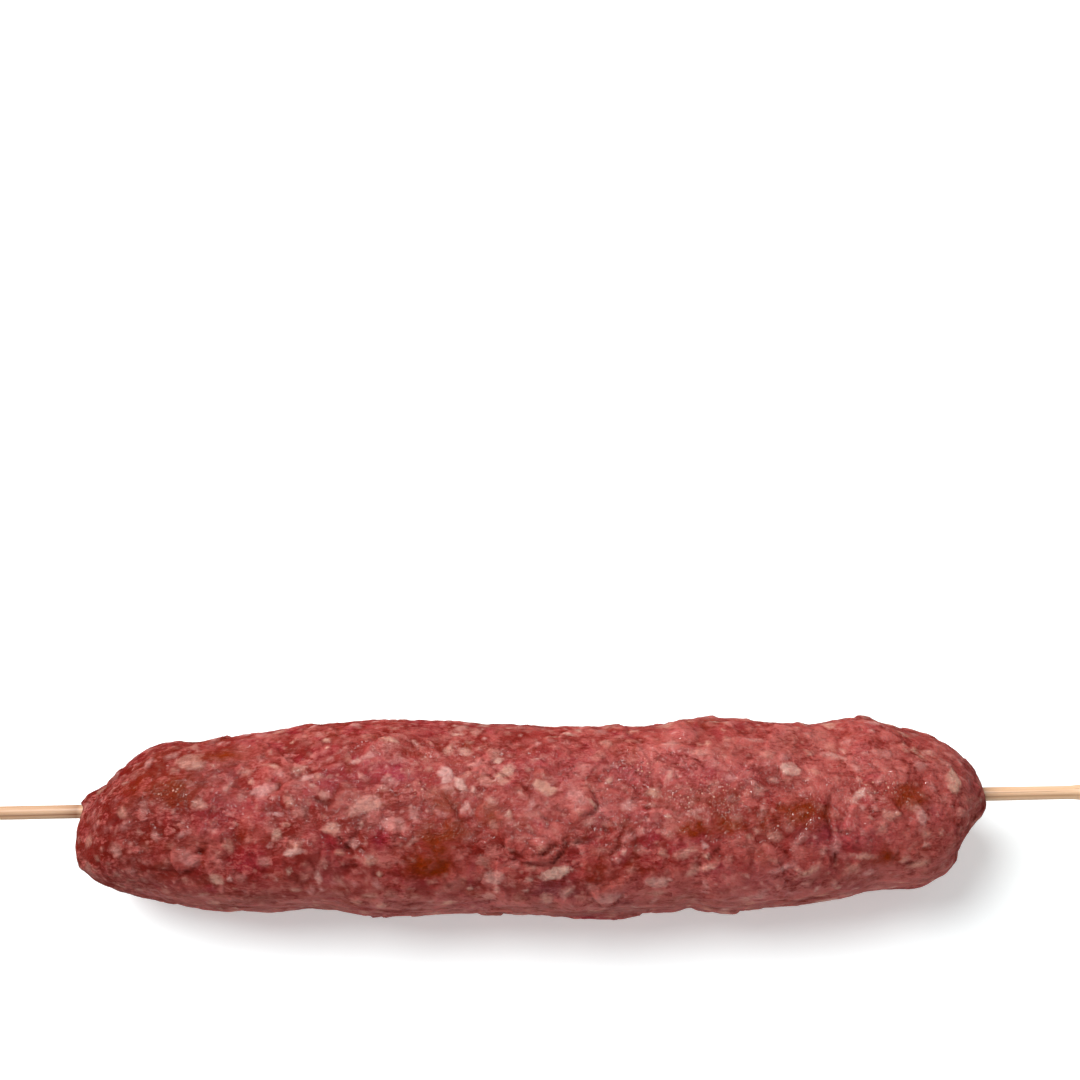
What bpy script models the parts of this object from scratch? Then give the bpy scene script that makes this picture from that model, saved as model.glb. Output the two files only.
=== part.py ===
"""A raw kofta skewer: hand-pressed minced meat on a round bamboo stick.

The stick lies along X with its point towards +X. The meat rests on its flattened
underside at Z = 0, and the origin is the middle of the whole object's base.
Sizes are in millimetres until a mesh is made, which turns them into metres.
"""

import math

import bmesh
import bpy
import numpy as np

MM = 0.001

# Bamboo stick
STICK_LENGTH = 300.0
STICK_RADIUS = 1.25
STICK_HEIGHT = 14.5
STICK_SIDES = 20
POINT_LENGTH = 15.0
POINT_MIDDLE_RADIUS = 0.85
POINT_TIP_RADIUS = 0.22
BLUNT_CHAMFER = 0.3
KNOT_SWELL = 0.2
KNOT_HALF_LENGTH = 2.2
KNOT_CREST_HALF_LENGTH = 0.8
KNOT_FROM_MEAT = 20.0

# Meat: its place on the stick and the clearance round the stick
MEAT_LENGTH = 171.0
FREE_STICK_AT_BLUNT_END = 77.0
STICK_CLEARANCE = 0.3
SECTION_ROUNDNESS = 2.2
END_ROUNDING = 2.4

# How far the meat reaches from the stick's axis at each station, in mm:
# distance from the blunt-end side, then towards +Y, towards -Y, up and down.
STATIONS = (
    (0.0, 2.2, 4.6, 2.2, 4.0),
    (1.5, 3.0, 9.0, 3.0, 7.4),
    (4.0, 4.9, 11.8, 4.8, 10.4),
    (8.0, 9.2, 13.8, 8.4, 12.8),
    (12.0, 11.8, 14.8, 10.2, 14.5),
    (23.0, 13.2, 16.8, 11.2, 15.8),
    (33.0, 14.2, 18.2, 12.0, 16.6),
    (45.0, 16.0, 17.8, 12.5, 16.8),
    (57.0, 16.6, 19.6, 12.8, 17.0),
    (71.0, 15.8, 19.0, 12.8, 17.0),
    (91.0, 14.2, 20.3, 12.6, 17.0),
    (107.0, 14.2, 19.8, 12.6, 17.0),
    (121.0, 15.8, 20.2, 12.8, 16.9),
    (138.0, 13.8, 18.6, 12.0, 16.4),
    (149.0, 15.6, 16.4, 11.8, 15.8),
    (159.0, 12.2, 15.2, 10.0, 14.2),
    (164.0, 10.6, 11.8, 8.5, 11.2),
    (166.0, 9.4, 8.4, 7.6, 8.0),
    (168.0, 7.4, 5.8, 6.0, 5.8),
    (171.0, 4.4, 4.0, 4.0, 4.0),
)

# Dents that fingers left: distance along the meat, direction round it in degrees
# (0 is +Y, 90 is up, 180 is -Y), depth, half-length and half-angle.
PRESS_MARKS = (
    (32.0, 95.0, 0.8, 6.0, 40.0),
    (67.0, 70.0, 0.6, 7.0, 40.0),
    (114.0, 185.0, 0.9, 2.5, 35.0),
    (103.0, 110.0, 0.7, 7.0, 40.0),
    (142.0, 60.0, 0.7, 5.0, 40.0),
)

# Clumps of mince that stand out of the surface or sink into it
CLUMP_SEED = 7
CLUMPS = 90
CLUMP_HALF_LENGTH = (3.5, 8.0)
CLUMP_HALF_WIDTH = (3.0, 6.0)
CLUMP_HEIGHT = (-0.45, 0.6)
CLUMPS_FADE_AT_ENDS = 10.0
GIRTH_RADIUS = 15.5

RINGS_IN_END = 7
RINGS_ALONG = 56
SIDES = 50
SHARP_ANGLE = 35.0
MERGE_DISTANCE = 0.001


def reaches_at(at):
    """Cubic Hermite interpolation of the stations' four reaches at distances along the meat."""
    table = np.array(STATIONS)
    x = table[:, 0]
    y = table[:, 1:]
    slope = np.gradient(y, x, axis=0)
    i = np.clip(np.searchsorted(x, at) - 1, 0, len(x) - 2)
    span = x[i + 1] - x[i]
    t = ((at - x[i]) / span)[..., None]
    span = span[..., None]
    return (
        (2 * t**3 - 3 * t**2 + 1) * y[i]
        + (t**3 - 2 * t**2 + t) * span * slope[i]
        + (3 * t**2 - 2 * t**3) * y[i + 1]
        + (t**3 - t**2) * span * slope[i + 1]
    )


def turn_between(angle, direction):
    """The angle left from a direction, in degrees, brought between -180 and 180."""
    return (np.degrees(angle) - direction + 180) % 360 - 180


def clump_height(along, angle):
    """Sum of bell-shaped bumps, each with its own place, length, width and height."""
    draw = np.random.default_rng(CLUMP_SEED)
    height = np.zeros_like(along)
    for place in np.linspace(0, MEAT_LENGTH, CLUMPS):
        direction = draw.uniform(0, 360)
        half_length = draw.uniform(*CLUMP_HALF_LENGTH)
        half_width = draw.uniform(*CLUMP_HALF_WIDTH)
        rise = draw.uniform(*CLUMP_HEIGHT)
        aside = np.radians(turn_between(angle, direction)) * GIRTH_RADIUS
        height += rise * np.exp(-(((along - place) / half_length) ** 2) - (aside / half_width) ** 2)
    return height


def section_reach(along, angle):
    """Distance from the stick's axis to the meat's surface: a superellipse whose four
    half-axes come from the stations, less the press marks, plus the clumps."""
    back, front, rise, drop = np.moveaxis(reaches_at(along), -1, 0)
    across = np.cos(angle)
    upward = np.sin(angle)
    half_width = np.where(across > 0, back, front)
    half_height = np.where(upward > 0, rise, drop)
    power = SECTION_ROUNDNESS
    reach = (np.abs(across / half_width) ** power + np.abs(upward / half_height) ** power) ** (-1 / power)
    fullness = np.clip(np.minimum(along, MEAT_LENGTH - along) / CLUMPS_FADE_AT_ENDS, 0, 1)
    for place, direction, depth, half_length, half_angle in PRESS_MARKS:
        turn = turn_between(angle, direction)
        reach = reach - depth * np.exp(-(((along - place) / half_length) ** 2) - (turn / half_angle) ** 2)
    return reach + fullness * clump_height(along, angle)


def meat_points():
    """Grid of points, one row for each ring from the blunt-end rim of the stick's hole
    to the other rim. Each end is a quarter-ellipse that turns from the rim outwards."""
    quarter = np.linspace(0, math.pi / 2, RINGS_IN_END)
    middle = np.linspace(END_ROUNDING, MEAT_LENGTH - END_ROUNDING, RINGS_ALONG)
    left = END_ROUNDING * (1 - np.cos(quarter))
    along = np.concatenate([left[:-1], middle, (MEAT_LENGTH - left)[::-1][1:]])
    share = np.concatenate([np.sin(quarter)[:-1], np.ones(RINGS_ALONG), np.sin(quarter)[::-1][1:]])
    angle = np.linspace(0, 2 * math.pi, SIDES, endpoint=False)
    along, angle = np.meshgrid(along, angle, indexing="ij")
    hole = STICK_RADIUS + STICK_CLEARANCE
    radius = hole + (section_reach(along, angle) - hole) * share[:, None]
    y = radius * np.cos(angle)
    z = np.maximum(radius * np.sin(angle) + STICK_HEIGHT, 0.0)
    x = along - STICK_LENGTH / 2 + FREE_STICK_AT_BLUNT_END
    return np.stack([x, y, z], axis=-1)


def material(name, colour, roughness):
    """A Principled BSDF with one colour and roughness."""
    made = bpy.data.materials.new(name)
    made.use_nodes = True
    shader = made.node_tree.nodes["Principled BSDF"]
    shader.inputs["Base Color"].default_value = (*colour, 1.0)
    shader.inputs["Roughness"].default_value = roughness
    shader.inputs["Metallic"].default_value = 0.0
    return made


def add_object(name, mesh_builder, look, location):
    """Turns a bmesh in millimetres into a named object in metres."""
    bmesh.ops.scale(mesh_builder, vec=(MM, MM, MM), verts=mesh_builder.verts)
    mesh = bpy.data.meshes.new(name)
    mesh_builder.to_mesh(mesh)
    mesh_builder.free()
    mesh.shade_smooth()
    mesh.set_sharp_from_angle(angle=math.radians(SHARP_ANGLE))
    mesh.materials.append(look)
    made = bpy.data.objects.new(name, mesh)
    made.location = location
    bpy.context.scene.collection.objects.link(made)
    return made


def build_meat(points, look, location):
    """The pressed meat: rings joined into a skin, and a round hole where the stick goes through."""
    build = bmesh.new()
    rings = [[build.verts.new(point) for point in ring] for ring in points]
    rings.append(rings[0])
    for here, there in zip(rings, rings[1:]):
        for side in range(SIDES):
            after = (side + 1) % SIDES
            build.faces.new((here[side], there[side], there[after], here[after]))
    bmesh.ops.recalc_face_normals(build, faces=build.faces)
    return add_object("meat", build, look, location)


def build_stick(look, location):
    """The bamboo stick: a half profile from the blunt end to the point, spun round X."""
    half = STICK_LENGTH / 2
    knot = -half + FREE_STICK_AT_BLUNT_END + MEAT_LENGTH + KNOT_FROM_MEAT
    profile = (
        (-half, 0.0),
        (-half, STICK_RADIUS - BLUNT_CHAMFER),
        (-half + BLUNT_CHAMFER, STICK_RADIUS),
        (knot - KNOT_HALF_LENGTH, STICK_RADIUS),
        (knot - KNOT_CREST_HALF_LENGTH, STICK_RADIUS + KNOT_SWELL),
        (knot + KNOT_CREST_HALF_LENGTH, STICK_RADIUS + KNOT_SWELL),
        (knot + KNOT_HALF_LENGTH, STICK_RADIUS),
        (half - POINT_LENGTH, STICK_RADIUS),
        (half - POINT_LENGTH / 2, POINT_MIDDLE_RADIUS),
        (half, POINT_TIP_RADIUS),
        (half, 0.0),
    )
    build = bmesh.new()
    line = [build.verts.new((x, 0.0, radius)) for x, radius in profile]
    edges = [build.edges.new(pair) for pair in zip(line, line[1:])]
    bmesh.ops.spin(
        build,
        geom=line + edges,
        axis=(1.0, 0.0, 0.0),
        cent=(0.0, 0.0, 0.0),
        steps=STICK_SIDES,
        angle=2 * math.pi,
        use_merge=True,
    )
    bmesh.ops.remove_doubles(build, verts=build.verts, dist=MERGE_DISTANCE)
    bmesh.ops.recalc_face_normals(build, faces=build.faces)
    return add_object("stick", build, look, location)


def main():
    for old in list(bpy.data.objects):
        bpy.data.objects.remove(old, do_unlink=True)
    points = meat_points()
    middle = (points[..., 1].min() + points[..., 1].max()) / 2
    to_origin = (0.0, -middle * MM, 0.0)
    mince = material("raw mince", (0.42, 0.085, 0.07), 0.45)
    bamboo = material("bamboo", (0.72, 0.45, 0.23), 0.6)
    build_meat(points, mince, to_origin)
    build_stick(bamboo, (0.0, -middle * MM, STICK_HEIGHT * MM))


main()
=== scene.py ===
"""Looks of a raw kofta skewer: hand-pressed minced meat on a bamboo stick, on a pale floor.

The meat's skin is a grid of rings round the stick. Grains of lean, pieces of fat, folds,
cracks and stains are laid on it one after another, as heights and as named attributes that
the material reads. Lengths are in millimetres until a mesh is made, unless a name says
otherwise, and directions round the meat are in degrees: 0 is +Y, 90 is up, 180 is -Y.
"""

import math

import bpy
import numpy as np
from mathutils import Matrix, Vector


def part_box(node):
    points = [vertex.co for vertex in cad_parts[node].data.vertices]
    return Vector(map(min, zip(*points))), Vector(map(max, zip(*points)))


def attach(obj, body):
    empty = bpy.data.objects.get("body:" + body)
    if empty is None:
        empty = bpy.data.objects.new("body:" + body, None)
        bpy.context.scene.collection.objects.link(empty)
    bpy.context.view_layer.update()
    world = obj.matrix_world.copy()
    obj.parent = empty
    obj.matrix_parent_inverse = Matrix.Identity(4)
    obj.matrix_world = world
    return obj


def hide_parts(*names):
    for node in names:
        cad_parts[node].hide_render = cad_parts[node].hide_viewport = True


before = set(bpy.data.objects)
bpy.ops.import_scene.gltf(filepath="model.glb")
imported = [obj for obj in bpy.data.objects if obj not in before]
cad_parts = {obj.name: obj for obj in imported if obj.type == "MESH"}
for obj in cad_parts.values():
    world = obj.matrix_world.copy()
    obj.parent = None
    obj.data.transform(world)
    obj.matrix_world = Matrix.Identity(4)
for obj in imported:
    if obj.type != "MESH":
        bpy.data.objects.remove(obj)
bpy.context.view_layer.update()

bl_info = {
    "name": "Kofta skewer",
    "version": (1, 0, 0),
    "blender": (4, 5, 0),
    "location": "3D View > Sidebar > Kofta",
    "description": "Makes a raw kofta skewer with its floor, lights and camera",
    "category": "Add Mesh",
}

MM = 0.001

# Places from the frame
STICK_LOW, STICK_HIGH = (np.array(corner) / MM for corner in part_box("stick"))
MEAT_LOW, MEAT_HIGH = (np.array(corner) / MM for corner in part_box("meat"))
STICK_Y, STICK_Z = ((STICK_LOW + STICK_HIGH) / 2)[1:]
MEAT_LENGTH = MEAT_HIGH[0] - MEAT_LOW[0]

# The photo's camera: its square frame in pixels, how far it looks down and turns,
# and where the middle of the meat's axis lies in its view
PHOTO_SIDE = 1080
FOCAL_PIXELS = 1040
SENSOR_WIDTH = 36.0
LOOKS_DOWN = 49.3
TURNS = -1.2
AIM_PIXEL = (530, 803)
AIM_DEPTH = 198.0
AIM_ALONG = 85.0

# The meat's body, as the CAD has it: stations along the meat with the reach from the
# stick's axis towards +Y, towards -Y, up and down
STICK_RADIUS = 1.25
RIM_CLEARANCE = 0.06
SECTION_ROUNDNESS = 2.2
END_ROUNDING = 2.4
STATIONS = (
    (0.0, 2.2, 4.6, 2.2, 4.0),
    (1.5, 3.0, 9.0, 3.0, 7.4),
    (4.0, 4.9, 11.8, 4.8, 10.4),
    (8.0, 9.2, 13.8, 8.4, 12.8),
    (12.0, 11.8, 14.8, 10.2, 14.5),
    (23.0, 13.2, 16.8, 11.2, 15.8),
    (33.0, 14.2, 18.2, 12.0, 16.6),
    (45.0, 16.0, 17.8, 12.5, 16.8),
    (57.0, 16.6, 19.6, 12.8, 17.0),
    (71.0, 15.8, 19.0, 12.8, 17.0),
    (91.0, 14.2, 20.3, 12.6, 17.0),
    (107.0, 14.2, 19.8, 12.6, 17.0),
    (121.0, 15.8, 20.2, 12.8, 16.9),
    (138.0, 13.8, 18.6, 12.0, 16.4),
    (149.0, 15.6, 16.4, 11.8, 15.8),
    (159.0, 12.2, 15.2, 10.0, 14.2),
    (164.0, 10.6, 11.8, 8.5, 11.2),
    (166.0, 9.4, 8.4, 7.6, 8.0),
    (168.0, 7.4, 5.8, 6.0, 5.8),
    (171.0, 4.4, 4.0, 4.0, 4.0),
)

# Press marks: place along the meat, direction, depth, half length and half angle
PRESS_MARKS = (
    (32.0, 95.0, 0.8, 6.0, 40.0),
    (67.0, 70.0, 0.6, 7.0, 40.0),
    (114.0, 185.0, 0.9, 2.5, 35.0),
    (103.0, 110.0, 0.7, 7.0, 40.0),
    (142.0, 60.0, 0.7, 5.0, 40.0),
)

# Clumps of mince, spread evenly along the meat: ranges of their half lengths, half widths
# and heights, the length over which they fade at the ends, and the meat's usual radius
CLUMP_SEED = 7
CLUMPS = 90
CLUMP_HALF_LENGTH = (3.5, 8.0)
CLUMP_HALF_WIDTH = (3.0, 6.0)
CLUMP_HEIGHT = (-0.45, 0.6)
CLUMPS_FADE_AT_ENDS = 10.0
GIRTH_RADIUS = 15.5

# The dimple where the stick goes into the meat's blunt end
DIMPLE_DEPTH = 0.9
DIMPLE_REACH = 4.5

# Painted shade on the meat's blunt end: how much less light it sends back, and how far along
BLUNT_END_SHADE = 0.3
BLUNT_END_SHADE_REACH = 34.0

# The skin's grid: rings in each end, rings between them, points in a ring, and how
# sparse the points are on the underside
RINGS_IN_END = 26
RINGS_ALONG = 368
SIDES = 234
UNDERSIDE_HALF_ANGLE = 38.0
UNDERSIDE_DENSITY = 0.45

# Where the faces of the skin's grid lie on the UV map: its start and spread across and up,
# and how far up the strip below it goes, for the faces inside the stick's hole
UV_START = (0.005, 0.055)
UV_SPREAD = (0.99, 0.94)
UV_STRIP = (0.005, 0.045)

# Noises over the skin: the side of their cells and their seed. Streaks are stretched
# along the meat
BEND_ALONG = (1.8, 11)
BEND_ROUND = (1.8, 13)
STREAKS = (0.9, 31, 8.0)
GRAINS = (1.3, 32)
FINE_GRAINS = (0.6, 33)
LUMPS = (4.2, 34)
UNEVEN_COLOUR = (1.3, 36)
BROAD_TONE = (9.0, 37)
SMALL_TONE = (3.0, 38)
UNEVEN_STAIN = (1.6, 39)

# Heights of the relief that covers everything
LUMP_HEIGHT = 0.26
GRAIN_HEIGHT = 0.1
STREAK_HEIGHT = 0.1
FINE_GRAIN_HEIGHT = 0.07
FAT_HEIGHT = 0.1

# Passes of softening that even out the flakes, and then the lumps too
PASSES_OVER_FLAKES = 24
PASSES_OVER_LUMPS = 200

# Layers of flakes, the largest first: their spacing as a multiple of the grain, how many
# are tried, and the ranges of length, opacity and softness, with the rise of their edges
FLAKE_LAYERS = (
    (2.2, 3000, (5.0, 12.0), (0.25, 0.6), (0.4, 2.0), 0.4),
    (1.2, 6000, (2.5, 6.0), (0.25, 0.6), (0.2, 1.0), 0.26),
    (0.7, 9000, (1.0, 3.0), (0.2, 0.5), (0.15, 0.5), 0.15),
)
FLAKE_SHARES = {
    "lean_deep": 0.18,
    "lean_middle": 0.18,
    "lean_pale": 0.24,
    "brown": 0.16,
    "fat_rosy": 0.11,
    "crimson": 0.13,
}

# Small chips of fat: their spacing, how many are tried, and the ranges of length and
# paleness
SCRAP_LAYERS = (
    (4.0, 3000, (1.6, 3.4), (0.1, 0.6)),
    (2.8, 5000, (0.8, 1.8), (0.15, 0.85)),
)

# Marks where the photo does not look: their spacing and how many are tried
UNSEEN_FOLDS = (9.0, 400)
UNSEEN_CRIMSON = (14.0, 300)
UNSEEN_STAINS = (22.0, 300)
UNSEEN_VIOLET = (26.0, 300)
UNSEEN_FAT = (8.0, 500)

# Distance inside a chip of fat, in mm, where there is none near
NO_CHIP = -3.0

# The stick's finer shape: its grid, the waves along it with their height, length and
# start, the knot past the meat with the crease beyond it, the chamfer, the radius of the
# tip as a share of the stick's, the facets round it, its fibres and the groove
STICK_SIDES = 36
STICK_RINGS = 420
STICK_WAVES = ((0.015, 7.0, 0.0), (0.01, 2.3, 1.0))
KNOT_FROM_MEAT = 20.0
KNOT_SWELL = 0.2
KNOT_HALF_LENGTH = 1.6
CREASE_FROM_KNOT = 1.6
CREASE_DEPTH = 0.08
CREASE_HALF_LENGTH = 0.35
BLUNT_CHAMFER = 0.3
TIP_SHARE = 0.15
POINT_BELLY = 0.85
FACETS = 5
FACET_DEPTH = 0.02
FACET_TURN = 0.6
FIBRES = (0.5, 51)
FIBRE_STRETCH = 40.0
FIBRE_CIRCLE = 3.0
FIBRE_HEIGHT = 0.012
GROOVE_AT = 142.0
GROOVE_HALF_ANGLE = 6.0
GROOVE_DEPTH = 0.05

# How strongly the stick is tinged: by juice beside the meat and as far as that reaches, at the tip and as
# far, and in the groove, and how much painted shade lies on the blunt side of the meat
JUICE_TINGE = 0.4
JUICE_REACH = 2.5
TIP_TINGE = 0.35
TIP_REACH = 6.0
GROOVE_TINGE = 0.4
BLUNT_SIDE_SHADE = 0.3

# The stage, in metres: the floor's reach, the large soft light's place and size, and the
# small lights' places and radii
FLOOR_REACH = 4.0
KEY_PLACE = (-1.25, 0.6, 1.75)
KEY_SIZE = 2.0
GLINTS = (
    ("glint_left", (-0.35, 0.2, 0.9), 0.015),
    ("glint_front", (0.0, -0.15, 1.0), 0.08),
    ("glint_right", (0.3, 0.15, 0.95), 0.015),
    ("glint_back", (-0.1, 0.55, 0.8), 0.08),
)
CLIP_START = 0.005

# Pieces of fat where the photo shows them: pixel across and down in the photo,
# length, width, turn anticlockwise in degrees, and paleness
FAT_SHOWN = (
    (191, 762, 5.8, 4.0, 5, 0.6),
    (148, 763, 2.8, 1.9, 70, 0.65),
    (144, 809, 3.9, 1.9, 85, 0.45),
    (262, 791, 4.9, 2.6, 10, 0.6),
    (275, 814, 3.6, 0.9, 0, 0.8),
    (186, 859, 4.4, 3.0, -30, 0.4),
    (293, 851, 4.1, 1.5, 3, 1.0),
    (217, 879, 3.6, 2.4, -10, 0.65),
    (277, 836, 2.6, 2.0, 60, 0.7),
    (307, 778, 2.7, 1.9, 20, 0.75),
    (272, 767, 4.6, 1.1, -15, 0.6),
    (246, 772, 3.0, 1.8, 0, 0.4),
    (328, 748, 1.2, 0.9, 60, 1.0),
    (356, 760, 2.3, 1.8, 60, 0.9),
    (362, 806, 7.2, 3.8, 20, 0.5),
    (333, 828, 3.4, 2.4, -20, 0.55),
    (354, 843, 2.2, 1.9, 0, 0.6),
    (318, 877, 2.8, 1.5, 80, 0.7),
    (302, 812, 3.4, 2.6, 40, 0.35),
    (388, 741, 4.1, 1.3, -20, 0.75),
    (458, 734, 3.4, 1.0, 10, 0.8),
    (464, 752, 3.2, 2.2, -20, 0.65),
    (447, 776, 4.4, 2.6, -35, 0.95),
    (460, 785, 3.8, 2.0, -60, 0.9),
    (465, 809, 2.6, 1.8, 60, 0.8),
    (448, 790, 3.6, 1.8, 0, 0.55),
    (499, 760, 1.9, 1.6, 40, 0.95),
    (507, 772, 4.6, 2.4, 40, 0.7),
    (504, 782, 3.0, 1.8, 30, 0.6),
    (384, 787, 2.8, 1.7, 0, 0.5),
    (392, 824, 5.0, 2.8, -10, 0.5),
    (414, 841, 3.4, 1.3, 40, 0.65),
    (494, 878, 4.4, 2.7, -10, 0.7),
    (449, 902, 3.6, 1.3, 10, 0.75),
    (490, 896, 3.0, 2.2, 10, 0.45),
    (545, 789, 4.2, 2.8, -40, 0.7),
    (570, 735, 3.2, 0.9, -10, 0.85),
    (553, 737, 3.4, 0.9, 10, 0.7),
    (578, 798, 4.6, 3.4, -30, 0.35),
    (593, 805, 2.6, 1.1, -50, 0.85),
    (556, 873, 5.8, 2.1, 15, 1.0),
    (566, 891, 3.2, 2.2, 50, 0.55),
    (607, 894, 6.6, 2.6, 0, 0.5),
    (622, 852, 1.5, 1.1, 40, 0.8),
    (629, 806, 3.2, 2.0, 0, 0.5),
    (653, 793, 3.4, 1.9, 0, 0.7),
    (668, 776, 3.6, 1.2, 70, 0.7),
    (656, 882, 4.6, 2.6, -10, 0.8),
    (657, 893, 3.0, 1.5, 0, 0.6),
    (686, 854, 4.2, 2.0, 5, 0.55),
    (693, 813, 3.0, 1.5, 0, 0.65),
    (699, 752, 5.0, 1.8, -10, 0.5),
    (712, 722, 3.2, 0.8, -15, 0.9),
    (737, 819, 2.6, 1.9, -20, 0.5),
    (754, 741, 3.4, 1.4, 0, 0.6),
    (760, 791, 3.0, 1.9, 10, 0.55),
    (789, 770, 4.2, 2.7, -10, 0.95),
    (804, 726, 2.6, 0.9, -30, 0.9),
    (832, 757, 5.0, 2.0, -15, 0.6),
    (859, 796, 3.8, 2.0, 50, 0.85),
    (870, 794, 2.4, 1.3, -60, 0.6),
    (876, 726, 4.6, 1.1, -3, 0.85),
    (884, 753, 4.4, 2.4, 0, 0.4),
    (914, 750, 2.0, 1.6, 0, 0.6),
    (919, 767, 4.0, 2.6, 20, 0.5),
    (927, 752, 3.0, 1.6, 0, 0.5),
    (952, 780, 5.4, 3.2, 85, 0.8),
    (921, 818, 3.6, 2.1, -50, 0.75),
    (889, 815, 3.6, 2.6, 10, 0.6),
    (937, 813, 1.1, 0.8, 60, 1.0),
    (940, 832, 2.0, 1.2, 60, 0.8),
    (849, 830, 3.2, 1.0, 20, 0.65),
    (862, 857, 4.8, 1.6, -10, 0.65),
    (903, 857, 2.2, 1.5, 20, 0.6),
    (918, 864, 4.4, 2.2, 15, 0.5),
    (836, 846, 4.0, 2.0, 80, 0.45),
    (799, 839, 4.6, 1.4, 35, 0.6),
    (810, 871, 5.2, 1.4, 25, 0.7),
    (784, 869, 5.4, 1.2, 15, 0.6),
    (706, 857, 1.6, 1.5, 0, 0.8),
    (708, 867, 3.2, 1.4, 15, 0.65),
    (745, 904, 3.4, 0.9, 10, 0.6),
    (610, 766, 4.2, 1.2, 10, 0.45),
    (636, 741, 4.4, 1.1, 0, 0.45),
    (541, 757, 4.0, 1.0, 20, 0.4),
    (222, 757, 4.6, 1.0, -8, 0.45),
    (124, 826, 3.0, 2.0, 30, 0.4),
    (115, 850, 3.0, 2.2, 0, 0.45),
    (110, 790, 2.6, 1.4, 40, 0.45),
)

# Soft patches that the photo shows: pixel across and down, length and width, then how
# strong clean red lean and stains are, and for tones how much lighter the lean is
CRIMSON_SHOWN = (
    (395, 775, 9.0, 5.0, 1.0),
    (215, 815, 10.0, 6.0, 1.0),
    (248, 866, 9.0, 4.0, 0.7),
    (852, 838, 12.0, 5.0, 0.8),
    (690, 838, 8.0, 3.5, 0.7),
    (330, 842, 6.0, 4.0, 0.8),
    (380, 840, 4.0, 5.0, 0.8),
    (590, 765, 14.0, 5.0, 0.6),
    (640, 772, 16.0, 6.0, 0.55),
    (700, 776, 16.0, 6.0, 0.45),
    (540, 762, 14.0, 5.0, 0.35),
    (175, 810, 6.0, 4.0, 0.8),
)
# Many of the tones are painted light and shade, not the lean's own colour: darker at the blunt end and
# lighter at the pointed end
TONES_AND_PAINTED_LIGHT_SHOWN = (
    (105, 790, 20.0, 20.0, -0.55),
    (120, 840, 16.0, 14.0, -0.5),
    (180, 790, 20.0, 18.0, -0.45),
    (172, 790, 9.0, 7.0, -0.5),
    (215, 815, 10.0, 6.0, -0.4),
    (176, 830, 7.0, 5.0, -0.8),
    (331, 871, 7.0, 5.0, -0.5),
    (185, 807, 9.0, 6.0, -0.7),
    (335, 822, 11.0, 6.0, -0.7),
    (340, 800, 9.0, 5.0, -0.55),
    (485, 807, 11.0, 4.0, 0.3),
    (488, 831, 13.0, 5.0, -0.4),
    (433, 828, 9.0, 5.0, -0.35),
    (485, 766, 16.0, 7.0, 0.4),
    (650, 765, 14.0, 7.0, 0.7),
    (585, 808, 10.0, 6.0, 0.6),
    (735, 808, 10.0, 6.0, -0.35),
    (785, 830, 10.0, 6.0, -0.5),
    (540, 869, 12.0, 6.0, 0.4),
    (640, 889, 18.0, 5.0, 0.5),
    (705, 885, 20.0, 6.0, 0.6),
    (885, 869, 14.0, 6.0, 0.55),
    (935, 868, 12.0, 6.0, 0.55),
    (545, 805, 5.0, 4.0, 0.6),
    (885, 825, 5.0, 4.0, 0.6),
    (590, 768, 18.0, 10.0, 0.3),
    (690, 760, 26.0, 11.0, 0.45),
    (800, 765, 24.0, 13.0, 0.45),
    (870, 760, 18.0, 10.0, 0.3),
    (955, 800, 14.0, 14.0, 0.4),
    (935, 855, 14.0, 12.0, 0.5),
    (230, 790, 12.0, 10.0, -0.2),
    (225, 835, 16.0, 12.0, -0.25),
    (335, 775, 12.0, 9.0, -0.3),
    (330, 805, 11.0, 9.0, -0.25),
    (420, 805, 14.0, 12.0, -0.2),
    (545, 770, 14.0, 8.0, 0.1),
    (520, 800, 10.0, 7.0, 0.2),
    (545, 850, 10.0, 8.0, 0.15),
    (600, 788, 14.0, 6.0, 0.45),
    (690, 786, 16.0, 5.0, 0.5),
    (300, 846, 18.0, 6.0, -0.4),
    (735, 850, 14.0, 6.0, -0.45),
    (165, 872, 7.0, 5.0, -0.5),
    (210, 770, 12.0, 5.0, -0.45),
    (650, 840, 18.0, 10.0, -0.2),
    (700, 835, 14.0, 10.0, -0.15),
    (760, 825, 16.0, 10.0, -0.2),
    (815, 800, 10.0, 10.0, -0.15),
)
STAINS_SHOWN = (
    (436, 846, 6.5, 7.5, 1.0),
    (428, 865, 6.5, 4.0, 1.8),
    (452, 830, 6.0, 4.5, 1.1),
    (492, 816, 5.0, 4.0, 0.8),
    (695, 829, 5.0, 3.0, 1.5),
    (728, 824, 5.0, 3.4, 1.0),
    (799, 811, 8.5, 4.5, 1.15),
    (709, 799, 13.0, 5.0, 0.4),
    (140, 788, 8.0, 6.0, 0.4),
    (765, 822, 7.0, 3.5, 0.6),
    (909, 796, 7.0, 3.6, 1.4),
    (924, 846, 7.0, 6.0, 0.2),
    (223, 757, 10.0, 3.0, 0.8),
    (172, 790, 9.0, 7.0, 0.75),
    (352, 904, 5.0, 2.0, 0.5),
    (520, 752, 4.0, 2.0, 0.4),
    (885, 858, 6.0, 3.0, 0.9),
    (440, 800, 5.0, 5.0, 0.5),
    (243, 830, 4.0, 4.0, 0.35),
    (600, 872, 7.0, 5.0, 0.35),
    (640, 868, 6.0, 4.0, 0.3),
)
VIOLET_SHOWN = (
    (813, 832, 8.0, 6.0),
    (176, 830, 5.0, 3.0),
    (331, 871, 6.0, 4.0),
    (600, 812, 5.0, 4.0),
    (556, 890, 10.0, 5.0),
    (931, 808, 3.0, 2.5),
    (764, 880, 14.0, 5.0),
)
# Grainy patches, where painted glints lie too
GRAINY_SHOWN = (
    (709, 796, 13.0, 6.0),
    (880, 785, 9.0, 4.0),
    (425, 790, 5.0, 4.0),
    (168, 792, 5.0, 3.0),
    (650, 768, 10.0, 3.0),
)

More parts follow.
